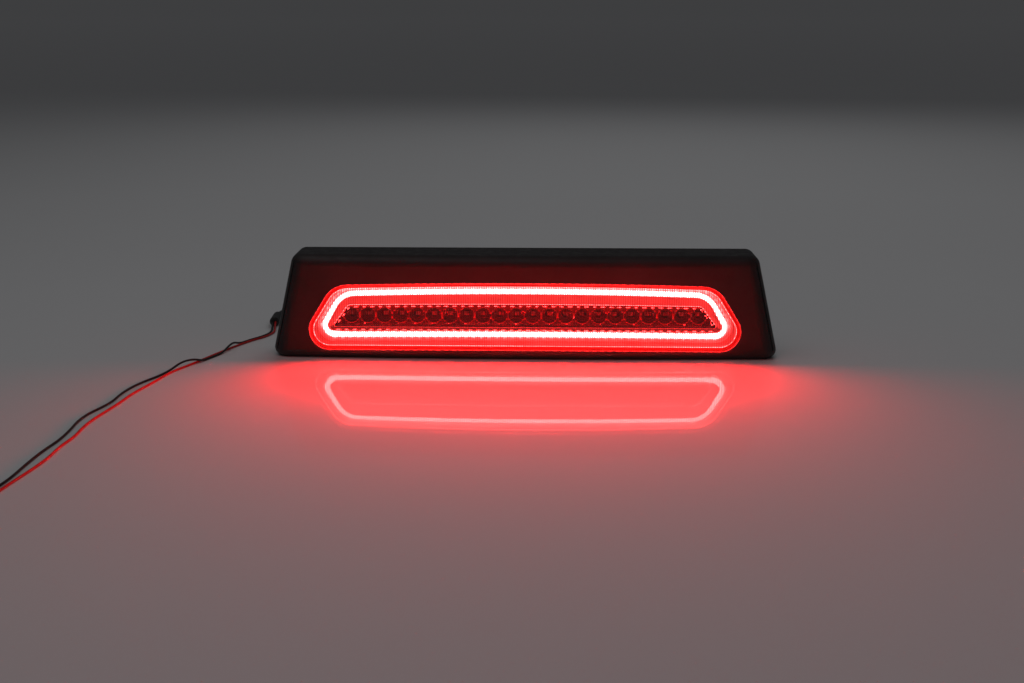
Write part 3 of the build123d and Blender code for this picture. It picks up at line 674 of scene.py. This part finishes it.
def make_stud(x):
    """A stud with a rolled thread, its plain neck, its collar and its hidden round head."""
    tip = [STUD_RADIUS - STUD_TIP] * STUD_SIDES
    places = [[(x, STUD_END, STUD_Z)], around(x, STUD_END, tip), *thread_loops(x)]
    for y, radius in (
        (STUD_START + COLLAR_STEP, STUD_RADIUS), (STUD_START + COLLAR_STEP, COLLAR_RADIUS - COLLAR_BEVEL),
        (STUD_START - COLLAR_STEP, COLLAR_RADIUS), (HEAD_BACK, COLLAR_RADIUS), (HEAD_BACK, HEAD_RADIUS),
        (HEAD_FRONT + HEAD_EDGE, HEAD_RADIUS), (HEAD_FRONT, HEAD_RADIUS - HEAD_BEVEL),
    ):
        places.append(around(x, y, [radius] * STUD_SIDES))
    places.append([(x, HEAD_FRONT, STUD_Z)])
    vertices, faces, starts = [], [], []
    for loop in places:
        starts.append(len(vertices))
        vertices += loop
    for k in range(STUD_SIDES):
        faces.append((starts[0], starts[1] + k, starts[1] + (k + 1) % STUD_SIDES))
        faces.append((starts[-1], starts[-2] + (k + 1) % STUD_SIDES, starts[-2] + k))
    for i in range(1, len(places) - 2):
        faces += bridge(starts[i], starts[i + 1], STUD_SIDES)
    return vertices, faces


stud_pair = joined([make_stud(side * STUD_SPACING / 2) for side in (-1, 1)])
studs = make_piece("threaded_studs", *stud_pair, "stud_zinc", 35)
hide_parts("mounting_studs")

# ---- materials ------------------------------------------------------------------------------

LAMP_HEIGHT = 0.08  # in metres; levels() takes each height as a part of it
NOISE_LOW = 0.3  # nearly all of a noise texture's values lie between these two
NOISE_HIGH = 0.7


class Material:
    """A Principled material whose fixed values sit on the shader's own sockets."""

    def __init__(self, name, colour, roughness, **sockets):
        self.data = bpy.data.materials.new(name)
        self.data.use_nodes = True
        self.nodes = self.data.node_tree.nodes
        self.links = self.data.node_tree.links
        self.shader = self.nodes["Principled BSDF"]
        self.shader.inputs["Base Color"].default_value = (*colour, 1)
        self.shader.inputs["Roughness"].default_value = roughness
        for socket, value in sockets.items():
            self.shader.inputs[socket.replace("_", " ")].default_value = value
        self.places = self.nodes.new("ShaderNodeTexCoord").outputs["Object"]
        self.normal = None

    def part(self, axis):
        """One coordinate of the place that is shaded, in metres."""
        split = self.nodes.new("ShaderNodeSeparateXYZ")
        self.links.new(self.places, split.inputs["Vector"])
        return split.outputs[axis]

    def noise(self, size, detail=3.0, stretch=(1, 1, 1)):
        """Noise whose grains are about this many metres across."""
        mapping = self.nodes.new("ShaderNodeMapping")
        mapping.inputs["Scale"].default_value = stretch
        self.links.new(self.places, mapping.inputs["Vector"])
        texture = self.nodes.new("ShaderNodeTexNoise")
        texture.inputs["Scale"].default_value = 1 / size
        texture.inputs["Detail"].default_value = detail
        self.links.new(mapping.outputs["Vector"], texture.inputs["Vector"])
        return texture.outputs["Fac"]

    def cells(self, size):
        """Distance from the middle of rounded cells about this many metres across."""
        texture = self.nodes.new("ShaderNodeTexVoronoi")
        texture.inputs["Scale"].default_value = 1 / size
        self.links.new(self.places, texture.inputs["Vector"])
        return texture.outputs["Distance"]

    def stripes(self, pitch, axis):
        """A smooth wave along one axis, from 0 to 1."""
        return self.wave(self.part(axis), pitch)

    def dashes(self, pitch):
        """A wave from 0 to 1 that runs round the lamp, along the bars and up both ends."""
        return self.wave(self.math("SUBTRACT", self.part("Z"), self.math("ABSOLUTE", self.part("X"))), pitch)

    def wave(self, value, pitch):
        """A sine of this pitch along a value, from 0 to 1."""
        sine = self.math("SINE", self.math("MULTIPLY", value, 2 * math.pi / pitch))
        return self.math("MULTIPLY_ADD", sine, 0.5, 0.5)

    def math(self, kind, first, second=None, third=None):
        node = self.nodes.new("ShaderNodeMath")
        node.operation = kind
        for socket, value in zip(node.inputs, (first, second, third)):
            if value is None:
                continue
            if isinstance(value, (int, float)):
                socket.default_value = value
            else:
                self.links.new(value, socket)
        return node.outputs["Value"]

    def mixed(self, value, stops, socket):
        """Feeds a colour ramp of these stops to a socket."""
        self.links.new(self.ramp(value, stops), self.shader.inputs[socket])

    def ramp(self, value, stops):
        """A colour ramp of (place, colour) stops, in rising order."""
        node = self.nodes.new("ShaderNodeValToRGB")
        elements = node.color_ramp.elements
        for element, (place, colour) in ((elements[0], stops[0]), (elements[1], stops[-1])):
            element.position = place
            element.color = (*colour, 1)
        for place, colour in stops[1:-1]:
            elements.new(place).color = (*colour, 1)
        self.links.new(value, node.inputs["Fac"])
        return node.outputs["Color"]

    def levels(self, stops):
        """Brightness by height, as (part of the lamp's height, level) stops from 0 to 1."""
        grey = [(place, (level, level, level)) for place, level in stops]
        return self.ramp(self.math("DIVIDE", self.part("Z"), LAMP_HEIGHT), grey)

    def ranged(self, value, low, high, socket):
        """Feeds a noise value, spread between low and high, to a socket."""
        node = self.nodes.new("ShaderNodeMapRange")
        node.inputs["From Min"].default_value = NOISE_LOW
        node.inputs["From Max"].default_value = NOISE_HIGH
        node.inputs["To Min"].default_value = low
        node.inputs["To Max"].default_value = high
        self.links.new(value, node.inputs["Value"])
        self.links.new(node.outputs["Result"], self.shader.inputs[socket])

    def glow(self, level):
        """Feeds a level to the emission's strength."""
        self.links.new(level, self.shader.inputs["Emission Strength"])

    def bump(self, value, height, strength=1.0):
        """Adds a layer of relief this many metres high."""
        node = self.nodes.new("ShaderNodeBump")
        node.inputs["Strength"].default_value = strength
        node.inputs["Distance"].default_value = height
        self.links.new(value, node.inputs["Height"])
        if self.normal is not None:
            self.links.new(self.normal, node.inputs["Normal"])
        self.normal = node.outputs["Normal"]
        self.links.new(self.normal, self.shader.inputs["Normal"])


def shade(material, *pieces):
    """Gives the pieces this material alone."""
    for piece in pieces:
        piece.data.materials.clear()
        piece.data.materials.append(material.data)


def moulded_black(name, tone, roughness, grain, height):
    """Black moulded plastic with a fine spark-eroded grain and a slight bloom."""
    m = Material(name, (tone, tone, tone), roughness)
    cloud = m.noise(0.045, 4)
    m.mixed(cloud, [(0.35, (tone * 0.8,) * 3), (0.7, (tone * 1.35, tone * 1.3, tone * 1.35))], "Base Color")
    m.ranged(m.noise(0.006, 3), roughness - 0.06, roughness + 0.08, "Roughness")
    m.bump(m.noise(grain, 2), height)
    m.bump(m.cells(grain * 2.2), height * 0.6)
    return m


# pitches of brightness, in metres
DIODE_PITCH = 0.0059
RIB_PITCH = FLUTE_PITCH * MM
CUP_WAVE = 0.0125
GLINT_WAVE = 0.05


def red_lens():
    """Clear red acrylic, its tint a shade paler along the crest of each flute as a painted highlight."""
    m = Material(
        "lens_acrylic", (0.93, 0.055, 0.055), 0.02, Transmission_Weight=1.0, IOR=1.49, Specular_IOR_Level=0.5,
    )
    # painted highlight: the tint turns paler along each flute's crest, standing for light the flutes refract
    m.mixed(m.stripes(RIB_PITCH, "X"), [(0.25, (0.9, 0.03, 0.03)), (0.85, (1.0, 0.11, 0.11))], "Base Color")
    m.ranged(m.noise(0.012, 3), 0.0, 0.04, "Roughness")
    m.bump(m.noise(0.02, 2), 0.00004, 0.4)
    return m


# colour of the painted red glow on the bond line and on the plating
RED_GLOW = (1.0, 0.03, 0.025)


def bond_line():
    """Clear bonding line under the lens's skirt, with a painted glow that stands for the light the skirt
    carries into it.
    """
    m = Material("clear_bond", (0.5, 0.03, 0.03), 0.4, Emission_Color=(*RED_GLOW, 1))
    # painted glow: the bond line emits in soft patches though it is no lamp
    m.glow(m.math("MULTIPLY_ADD", m.noise(0.03, 2), 0.4, 0.34))
    m.bump(m.noise(0.002, 2), 0.00005)
    return m


def lit_guide():
    """Milky acrylic ring, brighter over each of the diodes behind it."""
    m = Material("guide_acrylic", (0.9, 0.72, 0.7), 0.35, Emission_Color=(1.0, 0.9, 0.9, 1))
    spots = m.math("POWER", m.dashes(DIODE_PITCH), 3.0)
    m.glow(m.math("MULTIPLY_ADD", spots, 90.0, 26.0))
    m.bump(m.noise(0.0016, 2), 0.00003)
    return m


# Painted shadow dims the glow on the wall between the lower bar of the ring and the recess; these bounds are
# in metres.
WALL_LOW = 0.0203
WALL_HIGH = 0.023
WALL_FRONT = -0.0231
WALL_HALF_WIDTH = 0.146
WALL_SHADE = 0.8


def glowing_bezel(name, tone, specular):
    """Bright moulding with a painted glow in soft patches that stands for the ring's light from behind;
    painted shadow dims it on the wall.
    """
    m = Material(name, (tone, tone * 0.92, tone * 0.92), 0.32, Metallic=0.1, Specular_IOR_Level=specular)
    # painted glow: its colour and strength stand for the ring's light, though the moulding is no lamp
    m.mixed(m.noise(0.014, 2), [(0.35, (1.0, 0.38, 0.36)), (0.65, (1.0, 0.6, 0.57))], "Emission Color")
    stops = [
        (0.0, 0.14), (0.19, 0.15), (0.24, 0.14), (0.40, 0.14),
        (0.48, 0.15), (0.62, 0.17), (0.645, 0.9), (0.70, 0.8),
    ]
    patches = m.math("MULTIPLY_ADD", m.noise(0.02, 2), 3.0, 4.0)
    level = m.math("MULTIPLY", m.levels(stops), patches)
    low = m.math("LESS_THAN", m.part("Z"), WALL_HIGH)
    deep = m.math("GREATER_THAN", m.part("Y"), WALL_FRONT)
    above_ring = m.math("GREATER_THAN", m.part("Z"), WALL_LOW)
    inside_ring = m.math("LESS_THAN", m.math("ABSOLUTE", m.part("X")), WALL_HALF_WIDTH)
    between = m.math("MULTIPLY", above_ring, inside_ring)
    shaded_wall = m.math("MULTIPLY", low, m.math("MAXIMUM", deep, between))
    # painted shadow: the glow is dimmed on the shaded wall under the cups
    m.glow(m.math("MULTIPLY", level, m.math("MULTIPLY_ADD", shaded_wall, -WALL_SHADE, 1.0)))
    m.ranged(m.noise(0.01, 2), 0.25, 0.4, "Roughness")
    m.bump(m.noise(0.003, 2), 0.00003)
    return m


def painted_glint_bead(name, base, swing, pitch, fine=False, heights=None, colour=(1.0, 0.5, 0.5)):
    """Painted highlight in small dashes on a thin edge or pad, standing for the ring's light it catches;
    heights fade it by height.
    """
    base_colour = (0.9, 0.3, 0.28) if heights is None else (0.08, 0.03, 0.03)
    m = Material(name, base_colour, 0.2, Emission_Color=(*colour, 1))
    dashes = m.dashes(pitch)
    if fine:
        dashes = m.math("MULTIPLY", m.math("MULTIPLY_ADD", dashes, 0.6, 0.4), m.dashes(RIB_PITCH))
    level = m.math("MULTIPLY_ADD", dashes, swing, base)
    # painted highlight faded out lower down; the bead's own specular is turned off
    if heights is not None:
        m.shader.inputs["Specular IOR Level"].default_value = 0.0
        level = m.math("MULTIPLY", level, m.levels(heights))
    m.glow(level)
    m.bump(m.noise(0.002, 2), 0.00002)
    return m


def chrome(name, tone):
    """Bright metal plating with a painted red glow that stands for the ring's light on it; its glow is set by
    the caller.
    """
    m = Material(name, (tone, tone, tone * 1.02), 0.12, Metallic=1.0, Emission_Color=(*RED_GLOW, 1))
    m.ranged(m.noise(0.008, 3), 0.08, 0.2, "Roughness")
    m.bump(m.noise(0.003, 3), 0.00006)
    return m


FACE_REACH = 0.15
RIM_REACH = 0.4


def before(m, depth):
    """1 in front of this depth in millimetres, 0 behind it."""
    return m.math("LESS_THAN", m.part("Y"), (depth - HALF_DEPTH) * MM)


def rim_metal():
    """The cup rims carry a painted highlight of the ring's light; the steps and throats behind them get only
    a dim painted glow.
    """
    m = chrome("cup_rim_metal", 0.15)
    m.glow(m.math("MULTIPLY_ADD", before(m, REFLECTOR_FACE + RIM_REACH), 0.34, 0.08))
    return m


def lit_reflector():
    """Chromed strip: a painted glow, rising with height and strongest on its face, stands for the ring's
    light above and below the cups.
    """
    m = chrome("reflector_metal", 0.05)
    stops = [(0.26, 0.02), (0.32, 0.02), (0.36, 0.08), (0.44, 0.12), (0.475, 0.3)]
    face = m.math("MULTIPLY_ADD", before(m, REFLECTOR_FACE + FACE_REACH), 0.6, 0.4)
    m.glow(m.math("MULTIPLY", m.levels(stops), face))
    return m


def zinc(name="zinc_plate"):
    """Plated metal with a faint crystal pattern."""
    m = Material(name, (0.62, 0.62, 0.6), 0.3, Metallic=1.0)
    m.mixed(m.noise(0.002, 3), [(0.3, (0.5, 0.5, 0.5)), (0.7, (0.72, 0.72, 0.68))], "Base Color")
    m.ranged(m.noise(0.0012, 3), 0.22, 0.42, "Roughness")
    m.bump(m.noise(0.0004, 2), 0.00002)
    return m


def soft_black(name, tone, roughness, size, height):
    """Rubber or foam: open pores or a dull skin."""
    m = Material(name, (tone, tone, tone), roughness)
    m.mixed(m.noise(size * 6, 3), [(0.3, (tone * 0.75,) * 3), (0.75, (tone * 1.5,) * 3)], "Base Color")
    m.ranged(m.noise(size * 3, 3), roughness - 0.08, min(1.0, roughness + 0.08), "Roughness")
    m.bump(m.cells(size), height)
    m.bump(m.noise(size * 4, 3), height * 0.7)
    return m


def board(name, colour):
    """Solder mask over copper: raised tracks and a slight sheen."""
    m = Material(name, colour, 0.35)
    tracks = m.noise(0.004, 1, (1, 1, 6))
    m.mixed(tracks, [(0.42, colour), (0.5, tuple(c * 1.25 for c in colour)), (0.58, colour)], "Base Color")
    m.bump(tracks, 0.00003)
    m.ranged(m.noise(0.003, 2), 0.28, 0.42, "Roughness")
    return m


def insulation(name, colour):
    """Extruded wire insulation with faint draw lines along it."""
    m = Material(name, colour, 0.38)
    dark = tuple(c * 0.8 for c in colour)
    pale = tuple(min(1, c * 1.2) for c in colour)
    m.mixed(m.noise(0.006, 3), [(0.3, dark), (0.7, pale)], "Base Color")
    m.ranged(m.noise(0.002, 3), 0.3, 0.48, "Roughness")
    m.bump(m.noise(0.0005, 2), 0.00002)
    return m


def lit_chip(name, colour, light, strength):
    """A diode with its lit face."""
    m = Material(name, colour, 0.3, Emission_Color=(*light, 1), Emission_Strength=strength)
    m.mixed(m.noise(0.0008, 2), [(0.35, colour), (0.65, tuple(c * 0.7 for c in colour))], "Base Color")
    m.bump(m.noise(0.0006, 1), 0.00003)
    return m


shade(moulded_black("housing_plastic", 0.016, 0.5, 0.0005, 0.00003), NODES["outer_housing"])
shade(moulded_black("cover_plastic", 0.03, 0.48, 0.0006, 0.00003), NODES["rear_cover"])
shade(moulded_black("vent_plastic", 0.035, 0.55, 0.0004, 0.00002), NODES["vent_plug"])
plug_black = moulded_black("connector_plastic", 0.022, 0.4, 0.0004, 0.00002)
shade(plug_black, NODES["connector_body"], NODES["connector_latch"])
chip_black = moulded_black("chip_plastic", 0.02, 0.6, 0.0003, 0.00002)
shade(chip_black, NODES["driver_regulator"], NODES["driver_resistors"], NODES["driver_diodes"])
shade(red_lens(), lens)
shade(lit_guide(), guide)
shade(glowing_bezel("bezel_metallised", 0.12, 0.5), NODES["inner_bezel"])
# painted shade: the flange is a darker, duller copy of the bezel's material
shade(glowing_bezel("flange_metallised_shaded", 0.03, 0.1), flange)
# painted highlights: these beads and pads glow with the ring's light painted on, though none is a lamp
shade(painted_glint_bead("border_bead_painted_glint", 2.0, 42.0, DIODE_PITCH, fine=True), border_bead)
shade(painted_glint_bead("edge_bead_painted_glint", 0.4, 1.6, DIODE_PITCH, colour=(1.0, 0.1, 0.1)), edge_bead)
shade(painted_glint_bead("lip_bead_painted_highlight", 14.0, 8.0, DIODE_PITCH, heights=[(0.27, 0.0), (0.33, 1.0)]), recess_lip)
shade(painted_glint_bead("scallop_painted_glint", 8.0, 2.0, CUP_WAVE), scallops)
shade(painted_glint_bead("cup_glint_painted", 1.2, 3.0, GLINT_WAVE), glint_pads)
shade(lit_reflector(), NODES["reflector_strip"])
shade(rim_metal(), cup_rims)
SCREWS = ("halo_board_screws", "centre_board_screws", "cover_screws", "driver_board_screws")
shade(zinc(), *[NODES[name] for name in SCREWS])
shade(zinc("stud_plate"), studs)
shade(soft_black("seal_rubber", 0.02, 0.7, 0.0004, 0.00002), NODES["cover_seal"])
shade(bond_line(), NODES["lens_seal"])
shade(soft_black("gasket_foam_pores", 0.07, 0.9, 0.0007, 0.00012), NODES["body_gasket"])
shade(soft_black("grommet_rubber_skin", 0.025, 0.55, 0.0003, 0.00002), NODES["cable_grommet"])
shade(soft_black("boot_rubber_skin", 0.02, 0.5, 0.0003, 0.00002), NODES["sleeve_boot"])
shade(board("halo_solder_mask", (0.75, 0.76, 0.74)), NODES["halo_led_board"])
shade(board("centre_solder_mask", (0.015, 0.015, 0.016)), NODES["centre_led_board"])
shade(board("driver_solder_mask", (0.03, 0.2, 0.08)), NODES["driver_board"])
shade(lit_chip("halo_diodes", (0.9, 0.6, 0.55), (1.0, 0.4, 0.35), 20.0), NODES["halo_leds"])
shade(lit_chip("centre_diodes", (0.4, 0.38, 0.3), (1.0, 0.1, 0.08), 0.05), NODES["centre_leds"])
pale_lead = insulation("lead_insulation", (0.75, 0.74, 0.72))
shade(pale_lead, NODES["halo_board_leads"], NODES["centre_board_leads"])
shade(insulation("red_insulation", (0.5, 0.012, 0.012)), NODES["inner_red_lead"], red_wire)
shade(insulation("black_insulation", (0.018, 0.018, 0.018)), NODES["inner_black_lead"], black_wire)
shade(insulation("sleeve_vinyl", (0.02, 0.02, 0.021)), sleeve)
silicone = insulation("silicone_orange_skin", (0.75, 0.2, 0.04))
shade(silicone, NODES["connector_face_seal"], NODES["wire_seals"])
shade(zinc("terminal_plate"), NODES["connector_terminals"])
shade(zinc("capacitor_sleeve"), NODES["driver_capacitors"])

# ---- stage ----------------------------------------------------------------------------------------


FLOOR_REACH = 40.0


def make_floor():
    """A wide, pale, slightly glossy table top."""
    mesh = bpy.data.meshes.new("floor")
    floor = bpy.data.objects.new("floor", mesh)
    bpy.context.scene.collection.objects.link(floor)
    corners = [(x * FLOOR_REACH, y * FLOOR_REACH, 0) for x, y in ((-1, -1), (1, -1), (1, 1), (-1, 1))]
    mesh.from_pydata(corners, [], [(0, 1, 2, 3)])
    m = Material("floor_laminate", (0.72, 0.72, 0.73), 0.05, Specular_IOR_Level=0.22)
    m.ranged(m.noise(0.15, 3), 0.015, 0.035, "Roughness")
    shade(m, floor)


def make_light(name, place, aim, size, power, colour=(1, 1, 1)):
    """A rectangular area light at a place, turned to face its aim."""
    data = bpy.data.lights.new(name, "AREA")
    data.shape = "RECTANGLE"
    data.size, data.size_y = size
    data.energy = power
    data.color = colour
    light = bpy.data.objects.new(name, data)
    light.location = place
    light.rotation_euler = (Vector(aim) - Vector(place)).to_track_quat("-Z", "Y").to_euler()
    bpy.context.scene.collection.objects.link(light)
    return light


def make_world():
    """A very low even light from all round."""
    world = bpy.data.worlds.new("world")
    bpy.context.scene.world = world
    world.use_nodes = True
    background = world.node_tree.nodes["Background"]
    background.inputs["Color"].default_value = (0.95, 0.96, 1.0, 1)
    background.inputs["Strength"].default_value = 0.05


make_floor()
make_world()
make_light("softbox", (-0.5, -0.4, 1.5), (0, 0, 0), (1.4, 1.0), 1.9)
top = make_light("top_fill", (0.5, 0.5, 1.8), (0, 0, 0.05), (1.0, 0.6), 1.3)
back = make_light("back_fill", (0.3, 1.9, 1.5), (0, 0, 0.03), (1.6, 0.9), 6.0)
glow = make_light("lamp_glow", (0, -0.040, 0.033), (0, -0.5, 0.0), (0.30, 0.036), 1.7, (1.0, 0.004, 0.003))
spill = make_light("lamp_spill", (0, -0.11, 0.10), (0, 0, 0.035), (0.34, 0.05), 0.05, (1.0, 0.02, 0.02))
top.visible_glossy = False
# These three stand for the lamp's own glow and for a wide fill, so they aren't seen themselves.
for light in (glow, spill, back):
    light.visible_camera = False
    light.visible_glossy = False
    light.visible_transmission = False
bpy.context.scene.view_settings.view_transform = "Standard"
